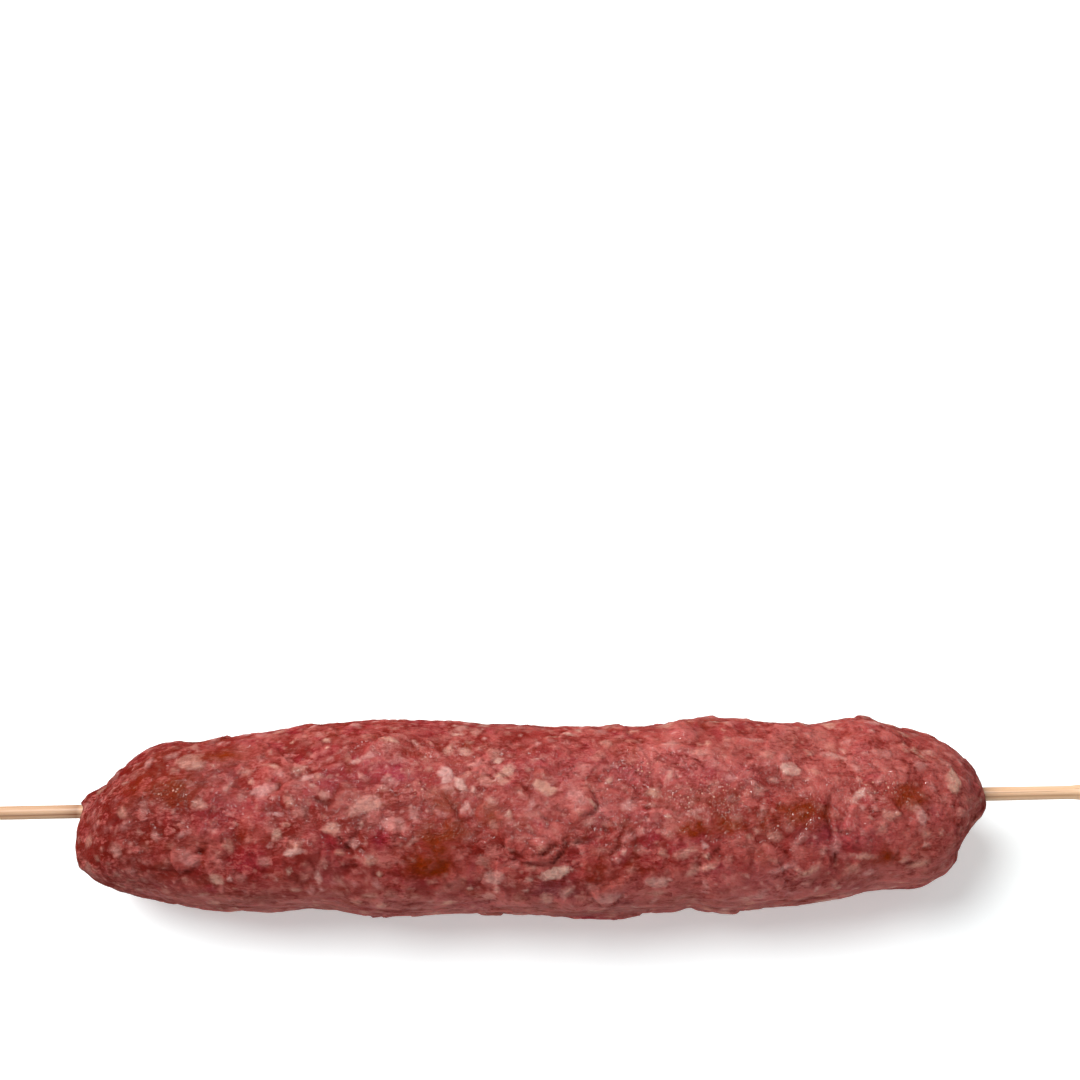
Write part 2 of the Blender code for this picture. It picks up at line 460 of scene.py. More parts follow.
# Cracks that the photo shows: the pixels of both ends, width and depth
CRACKS_SHOWN = (
    (502, 822, 505, 846, 0.6, 0.4),
    (505, 846, 522, 858, 0.8, 0.6),
    (522, 858, 544, 855, 1.0, 0.8),
    (544, 855, 556, 845, 1.1, 0.9),
    (556, 845, 579, 842, 0.9, 0.7),
    (579, 842, 600, 836, 0.7, 0.5),
    (570, 861, 594, 898, 0.5, 0.35),
    (612, 852, 621, 845, 1.0, 0.8),
    (341, 838, 354, 852, 0.9, 0.8),
    (346, 867, 356, 864, 1.2, 0.9),
    (313, 799, 326, 803, 1.2, 0.9),
    (829, 797, 828, 812, 0.8, 0.7),
    (828, 812, 833, 836, 0.9, 0.8),
    (200, 851, 202, 852, 1.2, 1.2),
    (279, 786, 280, 789, 0.7, 0.8),
    (708, 858, 718, 850, 0.8, 0.7),
    (697, 868, 701, 867, 0.9, 0.8),
    (905, 862, 913, 863, 1.0, 0.9),
    (835, 855, 835, 863, 0.9, 0.8),
    (842, 833, 850, 835, 1.0, 0.8),
    (454, 806, 457, 813, 1.0, 0.8),
    (645, 808, 648, 809, 0.8, 0.8),
    (603, 826, 607, 831, 0.9, 0.7),
    (190, 846, 222, 842, 0.4, 0.3),
    (150, 868, 190, 872, 0.4, 0.3),
)

# Folds that stand out and end in a sharp lip: pixel across and down, length, width,
# turn and height
FOLDS_SHOWN = (
    (531, 828, 13.0, 11.0, -95, 0.9),
    (580, 800, 6.5, 5.5, -20, 0.6),
    (186, 855, 7.0, 5.0, -120, 0.5),
    (866, 826, 9.0, 8.0, 170, 0.6),
    (607, 885, 9.0, 6.0, -100, 0.5),
    (340, 822, 8.0, 7.0, -80, 0.5),
    (395, 828, 7.0, 6.0, -60, 0.4),
    (466, 806, 5.0, 3.6, -90, 0.5),
)

# Places where a thumb has pressed the meat in: pixel across and down, length, width, depth
DENTS_SHOWN = (
    (116, 765, 13.0, 12.0, 1.45),
    (964, 846, 7.0, 6.0, 1.6),
)


def unit(vectors):
    """Vectors divided by their lengths."""
    return vectors / np.maximum(np.linalg.norm(vectors, axis=-1, keepdims=True), 1e-9)


def ease(low, high, value):
    """Rises smoothly from 0 at the low value to 1 at the high one: 3t^2 - 2t^3."""
    t = np.clip((value - low) / (high - low), 0, 1)
    return t * t * (3 - 2 * t)


def smooth_noise(points, cell, seed):
    """Noise from -1 to 1: random values on a lattice of cubes with the given side, blended
    between the eight corners of the cube round each point by the smoothstep of its place."""
    low = points.reshape(-1, 3).min(axis=0) - cell
    place = (points - low) / cell
    corner = np.floor(place).astype(int)
    part = place - corner
    part = part * part * (3 - 2 * part)
    shape = corner.reshape(-1, 3).max(axis=0) + 2
    lattice = np.random.default_rng(seed).uniform(-1, 1, shape)
    total = np.zeros(points.shape[:-1])
    for step in np.ndindex(2, 2, 2):
        weight = np.prod(np.where(step, part, 1 - part), axis=-1)
        x, y, z = np.moveaxis(corner + step, -1, 0)
        total += weight * lattice[x, y, z]
    return total


def softened(values, passes):
    """Values on the skin's grid, averaged with their neighbours along and round it with
    the weights 1, 2 and 1, a number of times."""
    for _ in range(passes):
        ends = np.pad(values, ((1, 1), (0, 0)), mode="edge")
        values = (ends[:-2] + 2 * values + ends[2:]) / 4
        values = (np.roll(values, 1, axis=1) + 2 * values + np.roll(values, -1, axis=1)) / 4
    return values


def camera_basis():
    """The camera's place in mm and its directions to the right, up and forward. The place
    is the meat's middle less its offset in the view, from the pixel and the depth."""
    down = math.radians(LOOKS_DOWN)
    turn = math.radians(TURNS)
    right = np.array([math.cos(turn), math.sin(turn), 0.0])
    level = np.array([-math.sin(turn), math.cos(turn), 0.0])
    forward = level * math.cos(down) - np.array([0.0, 0.0, math.sin(down)])
    up = np.cross(right, forward)
    aim = np.array([MEAT_LOW[0] + AIM_ALONG, STICK_Y, STICK_Z])
    across = (AIM_PIXEL[0] - PHOTO_SIDE / 2) / FOCAL_PIXELS * AIM_DEPTH
    above = (PHOTO_SIDE / 2 - AIM_PIXEL[1]) / FOCAL_PIXELS * AIM_DEPTH
    place = aim - right * across - up * above - forward * AIM_DEPTH
    return place, right, up, forward


def reaches_at(at):
    """Cubic Hermite interpolation of the stations' four reaches at distances along the meat."""
    table = np.array(STATIONS)
    x = table[:, 0]
    y = table[:, 1:]
    slope = np.gradient(y, x, axis=0)
    i = np.clip(np.searchsorted(x, at) - 1, 0, len(x) - 2)
    span = x[i + 1] - x[i]
    t = ((at - x[i]) / span)[..., None]
    span = span[..., None]
    return (
        (2 * t**3 - 3 * t**2 + 1) * y[i]
        + (t**3 - 2 * t**2 + t) * span * slope[i]
        + (3 * t**2 - 2 * t**3) * y[i + 1]
        + (t**3 - t**2) * span * slope[i + 1]
    )


def turn_between(angle, direction):
    """The angle left from a direction, in degrees, brought between -180 and 180."""
    return (np.degrees(angle) - direction + 180) % 360 - 180


def clump_height(along, angle):
    """Sum of bell-shaped bumps, each with its own place, length, width and height."""
    draw = np.random.default_rng(CLUMP_SEED)
    height = np.zeros_like(along)
    for place in np.linspace(0, MEAT_LENGTH, CLUMPS):
        direction = draw.uniform(0, 360)
        half_length = draw.uniform(*CLUMP_HALF_LENGTH)
        half_width = draw.uniform(*CLUMP_HALF_WIDTH)
        rise = draw.uniform(*CLUMP_HEIGHT)
        aside = np.radians(turn_between(angle, direction)) * GIRTH_RADIUS
        height += rise * np.exp(-(((along - place) / half_length) ** 2) - (aside / half_width) ** 2)
    return height


def section_reach(along, angle):
    """Distance from the stick's axis to the meat's surface: a superellipse whose four
    half-axes come from the stations, less the press marks, plus the clumps."""
    back, front, rise, drop = np.moveaxis(reaches_at(along), -1, 0)
    across = np.cos(angle)
    upward = np.sin(angle)
    half_width = np.where(across > 0, back, front)
    half_height = np.where(upward > 0, rise, drop)
    power = SECTION_ROUNDNESS
    reach = (np.abs(across / half_width) ** power + np.abs(upward / half_height) ** power) ** (-1 / power)
    fullness = np.clip(np.minimum(along, MEAT_LENGTH - along) / CLUMPS_FADE_AT_ENDS, 0, 1)
    for place, direction, depth, half_length, half_angle in PRESS_MARKS:
        turn = turn_between(angle, direction)
        reach = reach - depth * np.exp(-(((along - place) / half_length) ** 2) - (turn / half_angle) ** 2)
    return reach + fullness * clump_height(along, angle)


def ring_angles():
    """Angles round a ring, evenly spaced but for the underside, where they lie wider apart:
    the inverse of the running sum of a density."""
    fine = np.linspace(0, 2 * math.pi, 3601)
    under = np.abs(turn_between(fine, 270)) < UNDERSIDE_HALF_ANGLE
    density = np.where(under, UNDERSIDE_DENSITY, 1.0)
    total = np.concatenate([[0], np.cumsum((density[1:] + density[:-1]) / 2)])
    return np.interp(np.linspace(0, total[-1], SIDES, endpoint=False), total, fine)


class Skin:
    """The meat's surface as a grid of points, rows along the meat and columns round it,
    with unit directions along, round and out of it at every point."""

    def __init__(self):
        quarter = np.linspace(0, math.pi / 2, RINGS_IN_END)
        middle = np.linspace(END_ROUNDING, MEAT_LENGTH - END_ROUNDING, RINGS_ALONG)
        end = END_ROUNDING * (1 - np.cos(quarter))
        along = np.concatenate([end[:-1], middle, (MEAT_LENGTH - end)[::-1][1:]])
        share = np.concatenate([np.sin(quarter)[:-1], np.ones(RINGS_ALONG), np.sin(quarter)[::-1][1:]])
        along, angle = np.meshgrid(along, ring_angles(), indexing="ij")
        rim = STICK_RADIUS + RIM_CLEARANCE
        radius = rim + (section_reach(along, angle) - rim) * share[:, None]
        self.distance = along
        self.inset = (1 - share)[:, None]
        self.points = np.stack(
            [
                along + MEAT_LOW[0],
                radius * np.cos(angle) + STICK_Y,
                np.maximum(radius * np.sin(angle) + STICK_Z, 0.0),
            ],
            axis=-1,
        )
        rows = np.gradient(self.points, axis=0)
        columns = (np.roll(self.points, -1, axis=1) - np.roll(self.points, 1, axis=1)) / 2
        self.along = unit(rows)
        self.out = unit(np.cross(columns, rows))
        self.round = np.cross(self.along, self.out)
        row_step = np.linalg.norm(rows, axis=-1)
        self.column_step = np.median(np.linalg.norm(columns, axis=-1), axis=1)
        self.travel = np.cumsum(row_step.min(axis=1))
        self.area = row_step * np.linalg.norm(columns, axis=-1)
        place, right, up, forward = camera_basis()
        seen = self.points - place
        depth = seen @ forward
        self.pixel = np.stack(
            [
                PHOTO_SIDE / 2 + FOCAL_PIXELS * (seen @ right) / depth,
                PHOTO_SIDE / 2 - FOCAL_PIXELS * (seen @ up) / depth,
            ],
            axis=-1,
        )
        self.faces_camera = np.sum(self.out * seen, axis=-1) < 0

    def under_pixel(self, across, down):
        """Row and column of the grid point that shows nearest to a pixel of the photo."""
        far = np.hypot(self.pixel[..., 0] - across, self.pixel[..., 1] - down)
        far = np.where(self.faces_camera, far, np.inf)
        return np.unravel_index(np.argmin(far), far.shape)

    def patch(self, row, column, reach):
        """Index of the grid points within reach of one of them, and their distances from
        it along and round the meat, in its tangent plane."""
        rows = np.flatnonzero(np.abs(self.travel - self.travel[row]) <= reach)
        half = int(reach / self.column_step[rows].min()) + 1
        if half * 2 >= SIDES:
            columns = np.arange(SIDES)
        else:
            columns = np.arange(column - half, column + half + 1) % SIDES
        where = np.ix_(rows, columns)
        offset = self.points[where] - self.points[row, column]
        facing = self.out[where] @ self.out[row, column] > 0
        x = np.where(facing, offset @ self.along[row, column], 1e3)
        y = offset @ self.round[row, column]
        return where, x, y

    def scatter(self, draw, spacing, tries):
        """Rows and columns of points drawn in proportion to the area round each, and kept
        when they are further than the spacing from those kept before."""
        chance = (self.area / self.area.sum()).ravel()
        kept = []
        places = np.full((tries, 3), 1e3)
        for index in draw.choice(chance.size, tries, p=chance):
            row, column = np.unravel_index(index, self.area.shape)
            point = self.points[row, column]
            apart = np.abs(places[: len(kept)] - point).sum(axis=1)
            if apart.size and apart.min() < spacing:
                continue
            places[len(kept)] = point
            kept.append((row, column))
        return kept


def turned(x, y, turn):
    """Distances along and across a direction that is turned anticlockwise as seen from
    outside with the pointed end to the right."""
    c = math.cos(math.radians(turn))
    s = math.sin(math.radians(turn))
    return x * c - y * s, x * s + y * c


class Mince:
    """The layers of the meat's surface, each an array over the skin's grid."""

    def __init__(self, skin, settings):
        shape = skin.area.shape
        self.skin = skin
        self.settings = settings
        self.draw = np.random.default_rng(settings.seed)
        self.height = np.zeros(shape)
        self.lean = np.tile(self.paint("lean_middle"), shape + (1,))
        self.chip = np.tile(self.paint("fat_rosy"), shape + (1,))
        self.opacity = np.zeros(shape)
        self.inside = np.full(shape, NO_CHIP)
        # Painted shade in cracks and under the lips of flakes and folds
        self.dark = np.zeros(shape)
        self.crimson = np.zeros(shape)
        self.stain = np.zeros(shape)
        self.violet = np.zeros(shape)
        # Tone of the lean, partly painted light and shade
        self.tone_and_painted_light = np.zeros(shape)
        # Grainy patches: finer relief, and the painted glints
        self.grainy = np.zeros(shape)
        self.bend_x = self.noise(*BEND_ALONG)
        self.bend_y = self.noise(*BEND_ROUND)
        # The flanks, which hands have rubbed, and how far the lean is drawn out along the
        # meat: all the way on the flanks, and less on the back, where it was stroked
        above_table = ease(0.0, 3.0, skin.points[..., 2])
        sideways = ease(0.85, 0.5, np.abs(skin.out[..., 0]))
        self.flank = ease(0.75, -0.25, skin.out[..., 2]) * above_table * sideways
        stroked = ease(0.0, 0.6, skin.out[..., 1]) * above_table * sideways
        self.drawn = np.maximum(self.flank, 0.6 * stroked)

    def paint(self, name):
        """One of the settings' colours as a linear triple."""
        return np.array(getattr(self.settings, name))[:3]

    def noise(self, cell, seed, stretch=1.0):
        """Smooth noise over the skin, stretched along the meat."""
        return smooth_noise(self.skin.points / (stretch, 1.0, 1.0), cell, seed)

    def outline(self, row, column, length, width, turn, bend):
        """The points round a place, their distances along and across a turned direction,
        and how far inside the outline they lie: an ellipse whose radius waves two to four
        times round it."""
        where, x, y = self.skin.patch(row, column, 0.75 * max(length, width) + 1.0)
        x, y = turned(x + bend * self.bend_x[where], y + bend * self.bend_y[where], turn)
        direction = np.arctan2(y / width, x / length)
        radius = np.ones_like(x)
        for lobes in (2, 3, 4):
            wave = self.draw.uniform(0, 0.3 / lobes)
            radius += wave * np.cos(lobes * direction + self.draw.uniform(0, 2 * math.pi))
        return where, x, y, (radius - 2 * np.hypot(x / length, y / width)) * min(length, width) / 2

    def lay_flake(self, row, column, length, width, turn, colour, opacity, softness, rise):
        """A translucent flake of lean. Its colour covers what lies below by its opacity, it lifts towards
        the edge nearest the table, and a line of painted shade follows that edge."""
        where, _, y, inside = self.outline(row, column, length, width, turn, 0.35)
        share = opacity * ease(-0.2, softness, inside)
        self.lean[where] += share[..., None] * (colour - self.lean[where])
        lip = ease(0.3, -0.45, y / width)
        self.height[where] += rise * ease(-0.2, 0.5, inside) * (0.3 + 0.7 * lip)
        line = np.exp(-(((inside + 0.12) / 0.27) ** 2)) * lip * min(1.0, max(rise, 0.0) / 0.1)
        line *= 1 - 0.7 * self.drawn[where]
        self.dark[where] = np.maximum(self.dark[where] * (1 - share), line)

    def lay_flakes(self, spacing, tries, lengths, opacities, softness, rise):
        """Flakes pressed over one another all over the meat, longer, narrower and more
        nearly lengthwise on the flanks."""
        draw = self.draw
        paints = [self.paint(name) for name in FLAKE_SHARES]
        shares = tuple(FLAKE_SHARES.values())
        for row, column in self.skin.scatter(draw, spacing, tries):
            flank = self.flank[row, column]
            length = draw.uniform(*lengths) * (1 + 0.8 * flank)
            width = length * draw.uniform(0.35, 0.75) * (1 - 0.6 * flank)
            turn = draw.normal(0, 50 - 42 * flank)
            colour = paints[draw.choice(len(paints), p=shares)]
            opacity = draw.uniform(*opacities)
            soft = draw.uniform(*softness)
            lift = rise * draw.uniform(-0.4, 1)
            self.lay_flake(row, column, length, width, turn, colour, opacity, soft, lift)

    def lay_fat(self, row, column, length, width, turn, paleness):
        """A chip of fat: what lies within its outline, its colour from rosy to pale, and
        its opacity."""
        where, _, _, inside = self.outline(row, column, length, width, turn, min(0.5, width / 6))
        better = inside > self.inside[where]
        warmth = self.draw.uniform(-0.05, 0.05)
        colour = self.paint("fat_rosy") * (1 - paleness) + self.paint("fat_pale") * paleness
        colour = colour * (1.0, 1 + warmth, 1 - warmth)
        self.chip[where] = np.where(better[..., None], colour, self.chip[where])
        self.opacity[where] = np.where(better, 0.3 + 0.6 * paleness, self.opacity[where])
        self.inside[where] = np.maximum(inside, self.inside[where])

    def lay_patch(self, layer, row, column, length, width, strength=1.0):
        """A soft patch: strength times exp(-distance^2), in units of its half sizes."""
        where, x, y = self.skin.patch(row, column, 1.1 * max(length, width))
        x = x + 0.9 * self.bend_x[where]
        y = y + 0.9 * self.bend_y[where]
        soft = strength * np.exp(-((2 * x / length) ** 2) - (2 * y / width) ** 2)
        layer[where] = np.where(np.abs(soft) > np.abs(layer[where]), soft, layer[where])

    def lay_crack(self, start, end, width, depth):
        """A crack from one grid point to another: its section is a bell of the distance from the line
        between them, pinched in by noise. It sinks the surface and lays painted shade along it."""
        line = self.skin.points[end] - self.skin.points[start]
        length = max(np.linalg.norm(line), 0.1)
        where, _, _ = self.skin.patch(*start, length + 2 * width)
        offset = self.skin.points[where] - self.skin.points[start]
        share = np.clip(offset @ line / length**2, 0, 1)
        off_line = offset - share[..., None] * line
        aside = np.linalg.norm(off_line, axis=-1) + 0.2 * self.bend_x[where]
        bell = np.exp(-((2 * np.maximum(aside, 0) / width) ** 2))
        self.dark[where] = np.maximum(self.dark[where], bell * (1.0 + depth))
        self.height[where] -= 0.4 * depth * bell

    def lay_fold(self, row, column, length, width, turn, rise):
        """A fold: it climbs from its tail to its lip, where it drops off, and the drop gets painted shade."""
        where, x, _, inside = self.outline(row, column, length, width, turn, 0.5)
        climb = ease(-0.6, 0.9, 2 * x / length)
        lip = ease(-0.1, 0.5, inside)
        shade_below_lip = ease(-0.5, -0.05, inside) * (1 - lip) * ease(0.0, 0.8, 2 * x / length)
        self.height[where] += rise * (0.9 * climb * lip - 0.25 * shade_below_lip)
        self.dark[where] = np.maximum(self.dark[where], shade_below_lip)

    def lay_shown(self):
        """What the photo shows, each at its own pixel."""
        pick = self.skin.under_pixel
        for across, down, *fold in FOLDS_SHOWN:
            self.lay_fold(*pick(across, down), *fold)
        for x0, y0, x1, y1, width, depth in CRACKS_SHOWN:
            self.lay_crack(pick(x0, y0), pick(x1, y1), width, depth)
        for layer, shown in (
            (self.crimson, CRIMSON_SHOWN),
            (self.tone_and_painted_light, TONES_AND_PAINTED_LIGHT_SHOWN),
            (self.stain, STAINS_SHOWN),
            (self.violet, VIOLET_SHOWN),
            (self.grainy, GRAINY_SHOWN),
        ):
            for across, down, *patch in shown:
                self.lay_patch(layer, *pick(across, down), *patch)
        for across, down, *chip in FAT_SHOWN:
            self.lay_fat(*pick(across, down), *chip)

    def hidden_places(self, spacing, tries):
        """Scattered rows and columns, less those that the photo's camera sees."""
        places = self.skin.scatter(self.draw, spacing, tries)
        return [place for place in places if not self.skin.faces_camera[place]]

    def lay_unseen(self):
        """The same kinds of marks, drawn at random, where the photo does not look."""
        draw = self.draw
        for place in self.hidden_places(*UNSEEN_FOLDS):
            length, width = draw.uniform(5, 11), draw.uniform(4, 8)
            self.lay_fold(*place, length, width, draw.uniform(-180, 180), 0.5)
        for layer, spread in (
            (self.crimson, UNSEEN_CRIMSON),
            (self.stain, UNSEEN_STAINS),
            (self.violet, UNSEEN_VIOLET),
        ):
            for place in self.hidden_places(*spread):
                length, width = draw.uniform(4, 10), draw.uniform(3, 6)
                self.lay_patch(layer, *place, length, width, draw.uniform(0.4, 1.0))
        for place in self.hidden_places(*UNSEEN_FAT):
            length = draw.uniform(2.5, 5.5)
            width = length * draw.uniform(0.35, 0.8)
            self.lay_fat(*place, length, width, draw.uniform(-90, 90), draw.uniform(0.3, 0.9))

    def lay_scraps(self, spacing, tries, sizes, paleness):
        """Small chips of fat all over the meat, off the larger ones."""
        for row, column in self.skin.scatter(self.draw, spacing, tries):
            length = self.draw.uniform(*sizes)
            turn = self.draw.normal(0, 40)
            pale = self.draw.uniform(*paleness)
            width = length * self.draw.uniform(0.4, 0.85)
            if self.inside[row, column] < -0.4:
                self.lay_fat(row, column, length, width, turn, pale)

    def roughen(self):
        """Adds the relief that covers everything."""
        grains = GRAIN_HEIGHT * self.noise(*GRAINS) * (1 - 0.5 * self.flank)
        self.height += LUMP_HEIGHT * self.noise(*LUMPS) + grains
        self.height += STREAK_HEIGHT * self.noise(*STREAKS) * self.flank
        self.height += FINE_GRAIN_HEIGHT * self.noise(*FINE_GRAINS) * self.grainy
        self.height += FAT_HEIGHT * self.opacity * ease(-0.2, 0.5, self.inside)

    def shift(self, amount):
        """Moves the lean towards the pale colour where the amount is above nothing, and
        towards the deep one where it is below."""
        for share, name in ((amount, "lean_pale"), (-amount, "lean_deep")):
            part = np.clip(share, 0, 1)[..., None]
            self.lean += part * (self.paint(name) - self.lean)

    def tint(self):
        """Tints the lean: painted light where it stands out and painted shade in the hollows, the flanks'
        greyish pink, which is partly a painted reflection of the pale floor, the colours of the clean red
        and cold patches, the tone patches, which are partly painted light and shade, painted light towards
        the pointed end, and painted shade over the blunt end."""
        # Painted light on what stands out of the relief and painted shade in its hollows, at two sizes
        near = softened(self.height, PASSES_OVER_FLAKES)
        relief_shading = np.clip((self.height - near) / 0.3, -1, 1)
        lump_shading = np.clip((near - softened(near, PASSES_OVER_LUMPS)) / 0.3, -1, 1)
        self.shift(0.5 * relief_shading + 0.25 * lump_shading)
        uneven = 0.85 + 0.15 * self.noise(*UNEVEN_COLOUR)
        streaks = 0.7 + 0.3 * self.noise(*STREAKS)
        # The flanks' greyish pink, partly a painted reflection of the pale floor, and the clean red and
        # cold patches
        for layer, name, share in (
            (self.flank * streaks, "flank", 0.55),
            (self.crimson * uneven, "crimson", 1.1),
            (self.violet * uneven, "violet", 0.45),
        ):
            part = np.clip(share * layer, 0, 1)[..., None]
            self.lean += part * (self.paint(name) - self.lean)
        # Painted light towards the pointed end and painted shade towards the blunt end, with the tone
        # patches and random tone
        painted_light_along = 0.5 * (self.skin.distance / MEAT_LENGTH - 0.5)
        self.shift(self.tone_and_painted_light + painted_light_along + 0.12 * self.noise(*BROAD_TONE) + 0.2 * self.noise(*SMALL_TONE))
        self.stain = np.clip(self.stain * (1.05 + 0.35 * self.noise(*UNEVEN_STAIN)), 0, 0.97)
        # Painted shade over the lean and the fat of the blunt end
        blunt_end_shade = 1 - BLUNT_END_SHADE * ease(BLUNT_END_SHADE_REACH, 0.0, self.skin.distance)[..., None]
        self.lean *= blunt_end_shade
        self.chip *= blunt_end_shade

    def surface(self):
        """The skin's points moved out by the relief less the dents, but for the rims of the
        stick's hole and what lies on the table, and moved in along the stick at the blunt
        end, where it enters."""
        skin = self.skin
        off_table = ease(0.0, 0.8, skin.points[..., 2])
        moving = off_table * ease(1.0, 0.75, skin.inset)
        pressed = np.zeros_like(self.height)
        for across, down, *dent in DENTS_SHOWN:
            self.lay_patch(pressed, *skin.under_pixel(across, down), *dent)
        moved = skin.points + skin.out * ((self.height - pressed) * moving)[..., None]
        moved[..., 2] = np.maximum(moved[..., 2], 0.0)
        from_stick = np.hypot(moved[..., 1] - STICK_Y, moved[..., 2] - STICK_Z)
        dimple = np.exp(-((from_stick / DIMPLE_REACH) ** 2)) * ease(3.0, 0.0, skin.distance)
        moved[..., 0] += DIMPLE_DEPTH * dimple
        return moved

    def layers(self):
        """The attributes that the material reads: colours with an alpha, and numbers."""
        opaque = np.ones(self.height.shape + (1,))
        return {
            "lean": np.concatenate([self.lean, opaque], axis=-1),
            "chip": np.concatenate([self.chip, self.opacity[..., None]], axis=-1),
            "inside": self.inside,
            "dark": self.dark,
            "drawn": self.drawn,
            "stain": self.stain,
            "grainy": self.grainy,
        }


def linear(code):
    """Linear red, green, blue and alpha of an sRGB hex colour."""
    values = (int(code[i : i + 2], 16) / 255 for i in (1, 3, 5))
    return tuple(v / 12.92 if v <= 0.04045 else ((v + 0.055) / 1.055) ** 2.4 for v in values) + (1.0,)


def grid_mesh(name, points, wrap_rows):
    """Mesh of a grid whose columns close into rings, and whose last ring meets the first
    if the rows wrap. Every four neighbours make a face that turns outwards."""
    rows, sides = points.shape[:2]
    index = np.arange(rows * sides).reshape(rows, sides)
    last = rows if wrap_rows else rows - 1
    here = index[:last]
    there = np.roll(index, -1, axis=0)[:last]
    faces = np.stack([here, np.roll(here, -1, axis=1), np.roll(there, -1, axis=1), there], axis=-1)
    mesh = bpy.data.meshes.new(name)
    mesh.from_pydata((points.reshape(-1, 3) * MM).tolist(), [], faces.reshape(-1, 4).tolist())
    mesh.shade_smooth()
    return mesh


def unwrap(mesh, rows, sides, name):
    """UV map of a grid whose rows wrap: across with the row and up with the column. The
    faces that join the last ring to the first lie in a strip along the bottom, side by
    side."""
    u, v = np.meshgrid(np.arange(rows) / rows, np.arange(sides) / sides, indexing="ij")
    du, dv = 1 / rows, 1 / sides
    places = ((u, v), (u, v + dv), (u + du, v + dv), (u + du, v))
    corners = np.stack([np.stack(place, axis=-1) for place in places], axis=2)
    corners = corners * UV_SPREAD + UV_START
    low, high = UV_STRIP
    corners[-1, :, :, 0] = UV_START[0] + UV_SPREAD[0] * (v[-1][:, None] + (0, dv, dv, 0))
    corners[-1, :, :, 1] = (high, high, low, low)
    layer = mesh.uv_layers.new(name=name)
    layer.uv.foreach_set("vector", corners.astype(np.float32).ravel())


def add_layers(mesh, layers):
    """Named attributes on a mesh's points: numbers, or colours with an alpha."""
    for name, values in layers.items():
        kind, key = ("FLOAT", "value") if values.ndim == 2 else ("FLOAT_COLOR", "color")
        attribute = mesh.attributes.new(name, kind, "POINT")
        attribute.data.foreach_set(key, values.astype(np.float32).ravel())


def add_object(name, mesh, material):
    """A named object at the origin that shows a mesh in a material."""
    mesh.materials.append(material)
    made = bpy.data.objects.new(name, mesh)
    bpy.context.scene.collection.objects.link(made)
    return made


def new_material(name):
    """An empty node material, with its tree and its output node."""
    material = bpy.data.materials.new(name)
    material.use_nodes = True
    tree = material.node_tree
    tree.nodes.clear()
    output = tree.nodes.new("ShaderNodeOutputMaterial")
    return material, tree, output


def add(tree, kind, inputs=None, **settings):
    """Adds a node, sets its properties, and fills its inputs with values or links."""
    made = tree.nodes.new(kind)
    for name, value in settings.items():
        setattr(made, name, value)
    for socket, value in (inputs or {}).items():
        if isinstance(value, bpy.types.NodeSocket):
            tree.links.new(value, made.inputs[socket])
        else:
            made.inputs[socket].default_value = value
    return made.outputs


def per_metre(size):
    """Texture scale for features of a size in mm, on coordinates in metres."""
    return 1 / (size * MM)


